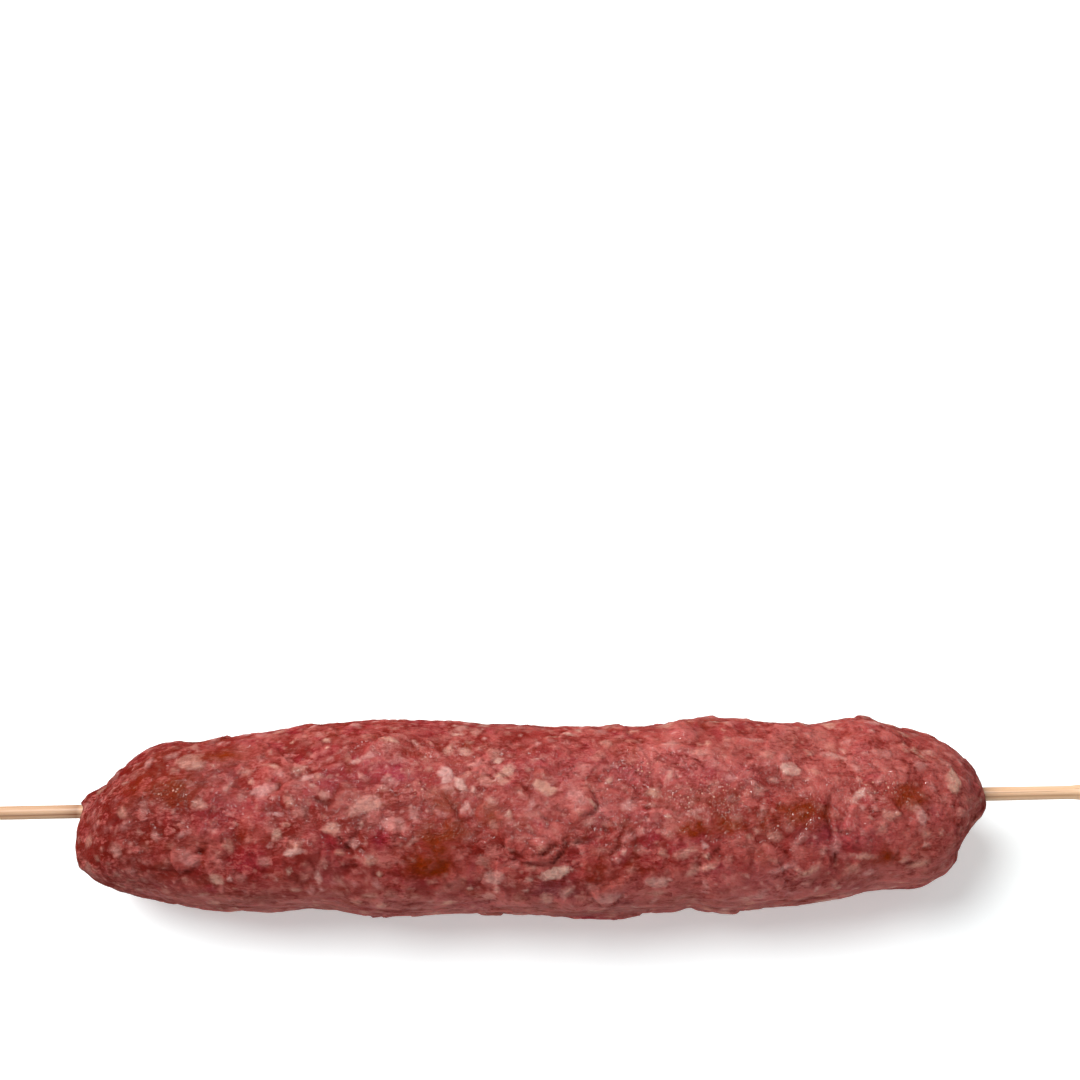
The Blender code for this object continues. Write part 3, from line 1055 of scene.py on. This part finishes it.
def raw_mince(settings):
    """Raw minced beef and lamb, kneaded with fat and spice and pressed with wet hands. To the eye it is
    soft flakes of pink-red lean pressed over one another, let into by rosy and pale chips of fat, under a
    thin moist film; light goes a little way into it. Painted sheen, glints and shade in creases are laid
    into its colour."""
    material, tree, output = new_material("raw mince")
    place = add(tree, "ShaderNodeTexCoord")["Object"]
    lean = add(tree, "ShaderNodeAttribute", attribute_name="lean")["Color"]
    chip = add(tree, "ShaderNodeAttribute", attribute_name="chip")
    inside, dark, drawn, stain, grainy = (
        add(tree, "ShaderNodeAttribute", attribute_name=name)["Fac"]
        for name in ("inside", "dark", "drawn", "stain", "grainy")
    )

    # Fine strands of 0.4 mm drawn out along the meat, grains of 1.3 mm, and long fibres for
    # the flanks and the back
    inputs = {"Vector": place, "Scale": (0.5, 1.0, 1.0)}
    drawn_out = add(tree, "ShaderNodeMapping", inputs)["Vector"]
    inputs = {"Vector": drawn_out, "Scale": per_metre(0.4), "Detail": 3.0, "Roughness": 0.6}
    fine = add(tree, "ShaderNodeTexNoise", inputs)["Fac"]
    inputs = {"Vector": place, "Scale": per_metre(1.3), "Detail": 2.0, "Distortion": 0.4}
    noise = add(tree, "ShaderNodeTexNoise", inputs)
    grain = noise["Fac"]
    inputs = {"Vector": place, "Scale": (0.12, 1.0, 1.0)}
    long_drawn = add(tree, "ShaderNodeMapping", inputs)["Vector"]
    inputs = {"Vector": long_drawn, "Scale": per_metre(0.8), "Detail": 3.0, "Roughness": 0.55}
    fibres = add(tree, "ShaderNodeTexNoise", inputs)["Fac"]

    # Scraps of lean too fine for the mesh are cells of 1.4 mm with wavering outlines, some paler and some
    # deeper than what lies round them. The tops of the fine strands get painted sheen and the spaces
    # between them painted shade. Both show less where hands have rubbed the surface smooth, in stretches
    # of 9 mm.
    inputs = {0: noise["Color"], 1: (1.2 * MM,) * 3, 2: drawn_out}
    wavering = add(tree, "ShaderNodeVectorMath", inputs, operation="MULTIPLY_ADD")["Vector"]
    scraps = add(tree, "ShaderNodeTexVoronoi", {"Vector": wavering, "Scale": per_metre(1.4)})
    chance = add(tree, "ShaderNodeSeparateColor", {0: scraps["Color"]})[0]
    inputs = {"Value": chance, "To Min": -0.5, "To Max": 0.5}
    shift = add(tree, "ShaderNodeMapRange", inputs)["Result"]
    apart = add(tree, "ShaderNodeMath", {0: drawn, 1: -0.5, 2: 1.0}, operation="MULTIPLY_ADD")["Value"]
    shift = add(tree, "ShaderNodeMath", {0: shift, 1: apart}, operation="MULTIPLY")["Value"]
    inputs = {"Value": fine, "From Min": 0.25, "From Max": 0.75, "To Min": -0.65, "To Max": 0.65}
    strand_shading = add(tree, "ShaderNodeMapRange", inputs)["Result"]
    shift = add(tree, "ShaderNodeMath", {0: shift, 1: strand_shading}, operation="ADD")["Value"]
    inputs = {"Value": fibres, "From Min": 0.3, "From Max": 0.7, "To Min": -0.35, "To Max": 0.35}
    fibre = add(tree, "ShaderNodeMapRange", inputs)["Result"]
    inputs = {0: fibre, 1: drawn, 2: shift}
    shift = add(tree, "ShaderNodeMath", inputs, operation="MULTIPLY_ADD")["Value"]
    inputs = {"Vector": place, "Scale": per_metre(9.0), "Detail": 2.0, "Distortion": 0.5}
    worked = add(tree, "ShaderNodeTexNoise", inputs)["Fac"]
    inputs = {"Value": worked, "From Min": 0.38, "From Max": 0.58, "To Min": 0.45, "To Max": 1.0}
    rubbed = add(tree, "ShaderNodeMapRange", inputs, interpolation_type="SMOOTHSTEP")["Result"]
    shift = add(tree, "ShaderNodeMath", {0: shift, 1: rubbed}, operation="MULTIPLY")["Value"]
    inputs = {"Value": grain, "From Min": 0.3, "From Max": 0.7, "To Min": -0.2, "To Max": 0.2}
    blotch = add(tree, "ShaderNodeMapRange", inputs)["Result"]
    shift = add(tree, "ShaderNodeMath", {0: shift, 1: blotch}, operation="ADD")["Value"]
    inputs = {0: shift, 6: lean, 7: tuple(settings.lean_pale)}
    colour = add(tree, "ShaderNodeMix", inputs, data_type="RGBA")[2]
    shift = add(tree, "ShaderNodeMath", {0: shift, 1: -1.0}, operation="MULTIPLY")["Value"]
    inputs = {0: shift, 6: colour, 7: tuple(settings.lean_deep)}
    colour = add(tree, "ShaderNodeMix", inputs, data_type="RGBA")[2]

    # Specks of fat finer than the chips, and painted glints of 0.3 mm. Each lies round the middle of a
    # cell, from its edge in to its core, and only some of the cells have one
    spots = []
    for size, edge, core, most, rare, common in (
        (1.5, 0.34, 0.08, 0.6, 0.65, 0.8),
        (0.65, 0.36, 0.14, 1.0, 0.2, 0.8),
    ):
        cells = add(tree, "ShaderNodeTexVoronoi", {"Vector": place, "Scale": per_metre(size)})
        inputs = {"Value": cells["Distance"], "From Min": edge, "From Max": core, "To Max": most}
        spot = add(tree, "ShaderNodeMapRange", inputs)["Result"]
        chance = add(tree, "ShaderNodeSeparateColor", {0: cells["Color"]})[0]
        inputs = {"Value": chance, "From Min": rare, "From Max": common}
        chosen = add(tree, "ShaderNodeMapRange", inputs)["Result"]
        spots.append(add(tree, "ShaderNodeMath", {0: spot, 1: chosen}, operation="MULTIPLY")["Value"])
    speck, glint_dot = spots
    inputs = {0: speck, 6: colour, 7: tuple(settings.fat_rosy)}
    colour = add(tree, "ShaderNodeMix", inputs, data_type="RGBA")[2]

    # Chips of fat: uneven in outline and in how far they let the lean show through, with
    # softer edges the less they show
    inputs = {"Value": grain, "From Min": 0.3, "From Max": 0.7, "To Min": -0.22, "To Max": 0.22}
    uneven = add(tree, "ShaderNodeMapRange", inputs)["Result"]
    edge = add(tree, "ShaderNodeMath", {0: inside, 1: uneven}, operation="ADD")["Value"]
    inputs = {"Value": chip["Alpha"], "From Min": 0.3, "From Max": 0.9, "To Min": 1.2, "To Max": 0.4}
    softness = add(tree, "ShaderNodeMapRange", inputs)["Result"]
    start = add(tree, "ShaderNodeMath", {0: softness, 1: -0.4}, operation="MULTIPLY")["Value"]
    inputs = {"Value": edge, "From Min": start, "From Max": softness}
    cover = add(tree, "ShaderNodeMapRange", inputs, interpolation_type="SMOOTHSTEP")["Result"]
    cover = add(tree, "ShaderNodeMath", {0: cover, 1: chip["Alpha"]}, operation="MULTIPLY")["Value"]
    inputs = {"Vector": place, "Scale": per_metre(1.8), "Detail": 3.0, "Distortion": 0.6}
    cloud = add(tree, "ShaderNodeTexNoise", inputs)["Fac"]
    inputs = {"Value": cloud, "From Min": 0.36, "From Max": 0.6, "To Min": 0.55, "To Max": 1.0}
    cloudy = add(tree, "ShaderNodeMapRange", inputs)["Result"]
    cover = add(tree, "ShaderNodeMath", {0: cover, 1: cloudy}, operation="MULTIPLY")["Value"]
    inputs = {"Value": fine, "From Min": 0.3, "From Max": 0.7, "To Min": 0.8, "To Max": 1.18}
    ripple = add(tree, "ShaderNodeMapRange", inputs)["Result"]
    inputs = {0: chip["Color"], "Scale": ripple}
    fat = add(tree, "ShaderNodeVectorMath", inputs, operation="SCALE")["Vector"]
    colour = add(tree, "ShaderNodeMix", {0: cover, 6: colour, 7: fat}, data_type="RGBA")[2]

    # Painted shade in cracks and under the edges of flakes, which comes and goes along them, and painted
    # shade in lines between the fibres of the flanks and the back
    inputs = {"Value": grain, "From Min": 0.35, "From Max": 0.65, "To Min": 0.65, "To Max": 0.25}
    depth = add(tree, "ShaderNodeMapRange", inputs)["Result"]
    bare = add(tree, "ShaderNodeMath", {0: cover, 1: -0.8, 2: 1.0}, operation="MULTIPLY_ADD")["Value"]
    depth = add(tree, "ShaderNodeMath", {0: depth, 1: bare}, operation="MULTIPLY")["Value"]
    shade = add(tree, "ShaderNodeMath", {0: dark, 1: depth}, operation="MULTIPLY")["Value"]
    inputs = {"Value": fibres, "From Min": 0.43, "From Max": 0.33, "To Max": 0.45}
    line = add(tree, "ShaderNodeMapRange", inputs)["Result"]
    line = add(tree, "ShaderNodeMath", {0: line, 1: drawn}, operation="MULTIPLY")["Value"]
    shade = add(tree, "ShaderNodeMath", {0: shade, 1: line}, operation="MAXIMUM", use_clamp=True)["Value"]
    inputs = {0: shade, 6: colour, 7: tuple(settings.crack)}
    colour = add(tree, "ShaderNodeMix", inputs, data_type="RGBA")[2]

    # Oil stained by spice lies over everything but the painted glints, thicker between the grains
    inputs = {"Value": grain, "From Min": 0.35, "From Max": 0.65, "To Min": 1.1, "To Max": 0.75}
    thickness = add(tree, "ShaderNodeMapRange", inputs)["Result"]
    inputs = {0: stain, 1: thickness}
    stain = add(tree, "ShaderNodeMath", inputs, operation="MULTIPLY", use_clamp=True)["Value"]
    inputs = {0: tuple(settings.spice)[:3], "Scale": ripple}
    spice = add(tree, "ShaderNodeVectorMath", inputs, operation="SCALE")["Vector"]
    inputs = {0: stain, 6: colour, 7: spice}
    colour = add(tree, "ShaderNodeMix", inputs, data_type="RGBA")[2]

    # Painted glints: pale dots on the grainy patches, for the glints of the moist film
    glint_dot = add(tree, "ShaderNodeMath", {0: glint_dot, 1: grainy}, operation="MULTIPLY")["Value"]
    inputs = {0: glint_dot, 6: colour, 7: tuple(settings.painted_glint)}
    colour = add(tree, "ShaderNodeMix", inputs, data_type="RGBA")[2]

    # What lies between the grains is a little smoother
    inputs = {"Value": grain, "From Min": 0.3, "From Max": 0.7, "To Min": 0.42, "To Max": 0.55}
    rough = add(tree, "ShaderNodeMapRange", inputs)["Result"]

    # Relief finer than the mesh
    inputs = {0: grainy, 1: 0.25, 2: 0.2}
    amount = add(tree, "ShaderNodeMath", inputs, operation="MULTIPLY_ADD")["Value"]
    relief = add(tree, "ShaderNodeMath", {0: fine, 1: amount}, operation="MULTIPLY")["Value"]
    inputs = {0: grain, 1: 0.25, 2: relief}
    relief = add(tree, "ShaderNodeMath", inputs, operation="MULTIPLY_ADD")["Value"]
    inputs = {0: cover, 1: 0.06, 2: relief}
    relief = add(tree, "ShaderNodeMath", inputs, operation="MULTIPLY_ADD")["Value"]
    bump = add(tree, "ShaderNodeBump", {"Height": relief, "Distance": MM})["Normal"]

    # The film's own surface: drops of 0.7 mm over the grains
    inputs = {"Vector": place, "Scale": per_metre(0.7), "Detail": 1.0}
    drops = add(tree, "ShaderNodeTexNoise", inputs)["Fac"]
    inputs = {0: drops, 1: 0.8, 2: grain}
    film = add(tree, "ShaderNodeMath", inputs, operation="MULTIPLY_ADD")["Value"]
    film = add(tree, "ShaderNodeMath", {0: film, 1: 0.25}, operation="MULTIPLY")["Value"]
    ripples = add(tree, "ShaderNodeBump", {"Height": film, "Distance": MM})["Normal"]

    inputs = {
        "Base Color": colour,
        "Roughness": rough,
        "IOR": 1.38,
        "Specular IOR Level": 0.06,
        "Specular Tint": (1.0, 0.7, 0.6, 1.0),
        "Subsurface Weight": 0.35,
        "Subsurface Radius": (1.0, 0.35, 0.25),
        "Subsurface Scale": 1.2 * MM,
        "Coat Weight": 0.14,
        "Coat Roughness": 0.12,
        "Coat IOR": 1.4,
        "Coat Normal": ripples,
        "Normal": bump,
    }
    shader = add(tree, "ShaderNodeBsdfPrincipled", inputs)["BSDF"]
    tree.links.new(shader, output.inputs["Surface"])
    return material


def bare_bamboo(settings):
    """Round-turned bamboo, sanded and left bare. To the eye it is a pale straw wood made of
    straight fibres, with darker hairlines along it and a dull sheen."""
    material, tree, output = new_material("bare bamboo")
    place = add(tree, "ShaderNodeTexCoord")["Object"]

    # Fibres of 0.35 mm and hairlines of 0.22 mm run along the stick, 60 and 110 times as
    # long as they are wide; broad stretches are 3 mm by 36 mm
    noises = []
    for stretch, size, detail in ((60, 0.35, 3.0), (12, 3.0, 2.0), (110, 0.22, 2.0)):
        inputs = {"Vector": place, "Scale": (1 / stretch, 1.0, 1.0)}
        along = add(tree, "ShaderNodeMapping", inputs)["Vector"]
        inputs = {"Vector": along, "Scale": per_metre(size), "Detail": detail}
        noises.append(add(tree, "ShaderNodeTexNoise", inputs)["Fac"])
    fibres, broad, hairlines = noises

    # Each noise lays its colour over the dark one, from none to the most it does
    colour = tuple(settings.dark)
    for noise, none, full, most, paint in (
        (fibres, 0.3, 0.7, 1.0, settings.pale),
        (broad, 0.3, 0.7, 0.35, settings.warm),
        (hairlines, 0.36, 0.28, 0.7, settings.hairline),
    ):
        inputs = {"Value": noise, "From Min": none, "From Max": full, "To Max": most}
        share = add(tree, "ShaderNodeMapRange", inputs, interpolation_type="SMOOTHSTEP")["Result"]
        inputs = {0: share, 6: colour, 7: tuple(paint)}
        colour = add(tree, "ShaderNodeMix", inputs, data_type="RGBA")[2]

    # Juice from the meat, grime at the tip, a darker groove, and painted shade on the stick's blunt side
    tinge = add(tree, "ShaderNodeAttribute", attribute_name="tinge")["Fac"]
    inputs = {0: tinge, 6: colour, 7: tuple(settings.hairline)}
    colour = add(tree, "ShaderNodeMix", inputs, data_type="RGBA", blend_type="MULTIPLY")[2]

    inputs = {"Value": fibres, "From Min": 0.3, "From Max": 0.7, "To Min": 0.55, "To Max": 0.42}
    rough = add(tree, "ShaderNodeMapRange", inputs)["Result"]
    relief = add(tree, "ShaderNodeMath", {0: fibres, 1: 0.06}, operation="MULTIPLY")["Value"]
    bump = add(tree, "ShaderNodeBump", {"Height": relief, "Distance": MM})["Normal"]
    inputs = {
        "Base Color": colour,
        "Roughness": rough,
        "IOR": 1.5,
        "Subsurface Weight": 0.08,
        "Subsurface Radius": (1.0, 0.6, 0.3),
        "Subsurface Scale": 0.8 * MM,
        "Normal": bump,
    }
    shader = add(tree, "ShaderNodeBsdfPrincipled", inputs)["BSDF"]
    tree.links.new(shader, output.inputs["Surface"])
    return material


def plain_floor(settings):
    """The opal acrylic top of a light table: white and matt, with a little light coming up
    through it, so that shadows on it stay pale and neutral."""
    material, tree, output = new_material("opal acrylic")
    inputs = {
        "Base Color": tuple(settings.floor),
        "Roughness": 0.9,
        "Specular IOR Level": 0.2,
        "Emission Color": (1.0, 1.0, 1.0, 1.0),
        "Emission Strength": settings.glow,
    }
    shader = add(tree, "ShaderNodeBsdfPrincipled", inputs)["BSDF"]
    tree.links.new(shader, output.inputs["Surface"])
    return material


def colour_property(name, code, description):
    """A colour that the panel shows, kept linear, from an sRGB hex value."""
    return bpy.props.FloatVectorProperty(
        name=name, description=description, subtype="COLOR", size=4, min=0.0, max=1.0, default=linear(code)
    )


class KoftaMeatSettings(bpy.types.PropertyGroup):
    seed: bpy.props.IntProperty(
        name="Seed", description="Which random flakes and scraps are drawn", default=5
    )
    grain: bpy.props.FloatProperty(
        name="Grain", description="Distance between flakes of lean", default=2.6 * MM, unit="LENGTH"
    )
    # Also the colour of painted shade in the hollows and between the fine strands
    lean_deep: colour_property("Deep lean", "#6E140B", "Darkest lean")
    lean_middle: colour_property("Lean", "#95322D", "Most of the lean")
    # Also the colour of painted light on what stands out and on the tops of the fine strands
    lean_pale: colour_property("Pale lean", "#BA605A", "Lean smeared with fat")
    brown: colour_property("Brown lean", "#84361E", "Lean that has stood in the air")
    crimson: colour_property("Crimson", "#961C34", "Patches of clean red lean")
    violet: colour_property("Violet", "#7C4450", "Patches with a cold tint")
    # The flanks' greyish pink is partly a painted reflection of the pale floor on the down-facing sides
    flank: colour_property("Flank", "#AC7C76", "Greyish pink of the pressed flanks")
    fat_rosy: colour_property("Rosy fat", "#BC766C", "Fat seen through a film of lean")
    fat_pale: colour_property("Pale fat", "#D2A698", "Clean fat")
    # Colour of the painted glints on the grainy patches
    painted_glint: colour_property("Beads of fat", "#D8A28E", "Beads of fat on the grainy patches")
    spice: colour_property("Spice", "#7C2400", "Oil stained by spice")
    # Colour of the painted shade in cracks, under the lips of flakes and folds, and between fibres
    crack: colour_property("Crack", "#5C120A", "What lies deep")


class KoftaStickSettings(bpy.types.PropertyGroup):
    radius: bpy.props.FloatProperty(
        name="Radius", description="Half the stick's thickness", default=STICK_RADIUS * MM, unit="LENGTH"
    )
    point: bpy.props.FloatProperty(
        name="Point", description="Length of the tapered point", default=15.0 * MM, unit="LENGTH"
    )
    pale: colour_property("Pale", "#F0CAA6", "Pale fibres")
    dark: colour_property("Dark", "#DFAF86", "Darker fibres")
    warm: colour_property("Warm", "#E2B388", "Warmer stretches")
    # Also the colour of the painted shade on the stick's blunt side
    hairline: colour_property("Hairline", "#8A5A36", "Dark hairlines and the tinge of juice")


class KoftaStageSettings(bpy.types.PropertyGroup):
    floor: colour_property("Floor", "#E8EFF0", "Colour of the floor")
    glow: bpy.props.FloatProperty(
        name="Glow", description="Light that comes up through the floor", default=0.38
    )
    key: bpy.props.FloatProperty(
        name="Key light", description="Power of the large soft light", default=80.0, unit="POWER"
    )
    glint: bpy.props.FloatProperty(
        name="Glint lights",
        description="Power of each small light, seen in gloss only",
        default=26.0,
        unit="POWER",
    )
    sky: bpy.props.FloatProperty(name="Sky", description="Strength of the even light", default=0.27)


def stick_profile(x, point):
    """Radius along the stick: the full radius with faint waves, a swelling at the knot with
    a crease past it, a chamfer at the blunt end, and at the point a fall to the tip along a
    slight belly."""
    from_tip = STICK_HIGH[0] - x
    from_blunt = x - STICK_LOW[0]
    radius = STICK_RADIUS + sum(high * np.sin(x / long + start) for high, long, start in STICK_WAVES)
    knot = MEAT_HIGH[0] + KNOT_FROM_MEAT
    radius += KNOT_SWELL * np.exp(-(((x - knot) / KNOT_HALF_LENGTH) ** 2))
    radius -= CREASE_DEPTH * np.exp(-(((x - knot - CREASE_FROM_KNOT) / CREASE_HALF_LENGTH) ** 2))
    taper = np.clip(from_tip / point, 0, 1)
    radius *= TIP_SHARE + (1 - TIP_SHARE) * np.sin(taper * math.pi / 2) ** POINT_BELLY
    return radius - BLUNT_CHAMFER * np.clip(1 - from_blunt / BLUNT_CHAMFER, 0, 1) ** 2


class KOFTA_OT_meat(bpy.types.Operator):
    """Add the pressed meat round its stick"""

    bl_idname = "kofta.add_meat"
    bl_label = "Meat"

    def execute(self, context):
        settings = context.scene.kofta_meat
        mince = Mince(Skin(), settings)
        grain = settings.grain / MM
        for spacing, *flakes in FLAKE_LAYERS:
            mince.lay_flakes(spacing * grain, *flakes)
        mince.lay_shown()
        mince.lay_unseen()
        for scraps in SCRAP_LAYERS:
            mince.lay_scraps(*scraps)
        mince.roughen()
        mince.tint()
        points = mince.surface()
        mesh = grid_mesh("kofta_meat", points, wrap_rows=True)
        unwrap(mesh, *points.shape[:2], "OFBake")
        add_layers(mesh, mince.layers())
        piece = add_object("kofta_meat", mesh, raw_mince(settings))
        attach(piece, "root")
        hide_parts("meat")
        return {"FINISHED"}


class KOFTA_OT_stick(bpy.types.Operator):
    """Add the bamboo stick"""

    bl_idname = "kofta.add_stick"
    bl_label = "Stick"

    def execute(self, context):
        settings = context.scene.kofta_stick
        point = settings.point / MM
        x = np.linspace(STICK_LOW[0], STICK_HIGH[0], STICK_RINGS)
        angle = np.linspace(0, 2 * math.pi, STICK_SIDES, endpoint=False)
        x, angle = np.meshgrid(x, angle, indexing="ij")
        radius = stick_profile(x, point) * settings.radius / MM / STICK_RADIUS
        facets = 1 - FACET_DEPTH * np.cos(FACETS * angle + FACET_TURN)
        circle = (FIBRE_CIRCLE * np.cos(angle), FIBRE_CIRCLE * np.sin(angle))
        fibres = smooth_noise(np.stack([x / FIBRE_STRETCH, *circle], axis=-1), *FIBRES)
        groove = np.exp(-((turn_between(angle, GROOVE_AT) / GROOVE_HALF_ANGLE) ** 2))
        radius = radius * (facets + FIBRE_HEIGHT * fibres - GROOVE_DEPTH * groove)
        points = np.stack([x, radius * np.cos(angle) + STICK_Y, radius * np.sin(angle) + STICK_Z], axis=-1)
        points[0, :, 1:] = (STICK_Y, STICK_Z)
        points[-1, :, 1:] = (STICK_Y, STICK_Z)
        mesh = grid_mesh("kofta_stick", points, wrap_rows=False)
        to_meat = np.minimum(np.abs(x - MEAT_LOW[0]), np.abs(x - MEAT_HIGH[0]))
        tip = ease(TIP_REACH, 0.0, STICK_HIGH[0] - x)
        tinge = JUICE_TINGE * np.exp(-to_meat / JUICE_REACH) + TIP_TINGE * tip
        # The blunt side of the stick gets painted shade
        tinge = tinge + GROOVE_TINGE * groove + BLUNT_SIDE_SHADE * (x < MEAT_LOW[0])
        add_layers(mesh, {"tinge": tinge})
        piece = add_object("kofta_stick", mesh, bare_bamboo(settings))
        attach(piece, "root")
        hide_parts("stick")
        return {"FINISHED"}


class KOFTA_OT_stage(bpy.types.Operator):
    """Add the floor, the lights and the camera"""

    bl_idname = "kofta.set_stage"
    bl_label = "Stage"

    def execute(self, context):
        scene = context.scene
        settings = scene.kofta_stage
        reach = FLOOR_REACH
        mesh = bpy.data.meshes.new("floor")
        corners = [(-reach, -reach, 0.0), (reach, -reach, 0.0), (reach, reach, 0.0), (-reach, reach, 0.0)]
        mesh.from_pydata(corners, [], [(0, 1, 2, 3)])
        floor = add_object("floor", mesh, plain_floor(settings))
        floor.visible_glossy = False

        light = bpy.data.lights.new("key", "AREA")
        light.shape = "DISK"
        light.size = KEY_SIZE
        light.energy = settings.key
        key = bpy.data.objects.new("key", light)
        key.location = KEY_PLACE
        key.rotation_euler = Vector(key.location).to_track_quat("Z", "Y").to_euler()
        key.visible_glossy = False
        scene.collection.objects.link(key)

        for name, place, radius in GLINTS:
            light = bpy.data.lights.new(name, "POINT")
            light.energy = settings.glint
            light.shadow_soft_size = radius
            lamp = bpy.data.objects.new(name, light)
            lamp.location = place
            lamp.visible_diffuse = False
            scene.collection.objects.link(lamp)

        world = bpy.data.worlds.new("even light")
        world.use_nodes = True
        background = world.node_tree.nodes["Background"]
        background.inputs["Color"].default_value = (1.0, 1.0, 1.0, 1.0)
        background.inputs["Strength"].default_value = settings.sky
        world.cycles_visibility.glossy = False
        scene.world = world
        scene.view_settings.view_transform = "Standard"

        place, right, up, forward = camera_basis()
        camera = bpy.data.cameras.new("camera")
        camera.sensor_width = SENSOR_WIDTH
        camera.lens = FOCAL_PIXELS / PHOTO_SIDE * SENSOR_WIDTH
        camera.clip_start = CLIP_START
        view = bpy.data.objects.new("camera", camera)
        basis = Matrix(np.stack([right, up, -forward], axis=1).tolist()).to_4x4()
        basis.translation = (place * MM).tolist()
        view.matrix_world = basis
        scene.collection.objects.link(view)
        scene.camera = view
        return {"FINISHED"}


class KOFTA_PT_panel(bpy.types.Panel):
    """Lists the skewer's pieces with their sizes and colours"""

    bl_idname = "KOFTA_PT_panel"
    bl_label = "Kofta skewer"
    bl_space_type = "VIEW_3D"
    bl_region_type = "UI"
    bl_category = "Kofta"

    def draw(self, context):
        groups = (
            ("kofta.add_meat", context.scene.kofta_meat),
            ("kofta.add_stick", context.scene.kofta_stick),
            ("kofta.set_stage", context.scene.kofta_stage),
        )
        for operator, settings in groups:
            box = self.layout.box()
            box.operator(operator)
            for name in settings.__annotations__:
                box.prop(settings, name)


SETTINGS = {
    "kofta_meat": KoftaMeatSettings,
    "kofta_stick": KoftaStickSettings,
    "kofta_stage": KoftaStageSettings,
}
CLASSES = (*SETTINGS.values(), KOFTA_OT_meat, KOFTA_OT_stick, KOFTA_OT_stage, KOFTA_PT_panel)


def register():
    for each in CLASSES:
        bpy.utils.register_class(each)
    for name, group in SETTINGS.items():
        setattr(bpy.types.Scene, name, bpy.props.PointerProperty(type=group))


def unregister():
    for name in SETTINGS:
        delattr(bpy.types.Scene, name)
    for each in reversed(CLASSES):
        bpy.utils.unregister_class(each)


def main():
    register()
    bpy.ops.kofta.set_stage()
    bpy.ops.kofta.add_stick()
    bpy.ops.kofta.add_meat()


if __name__ == "__main__":
    main()
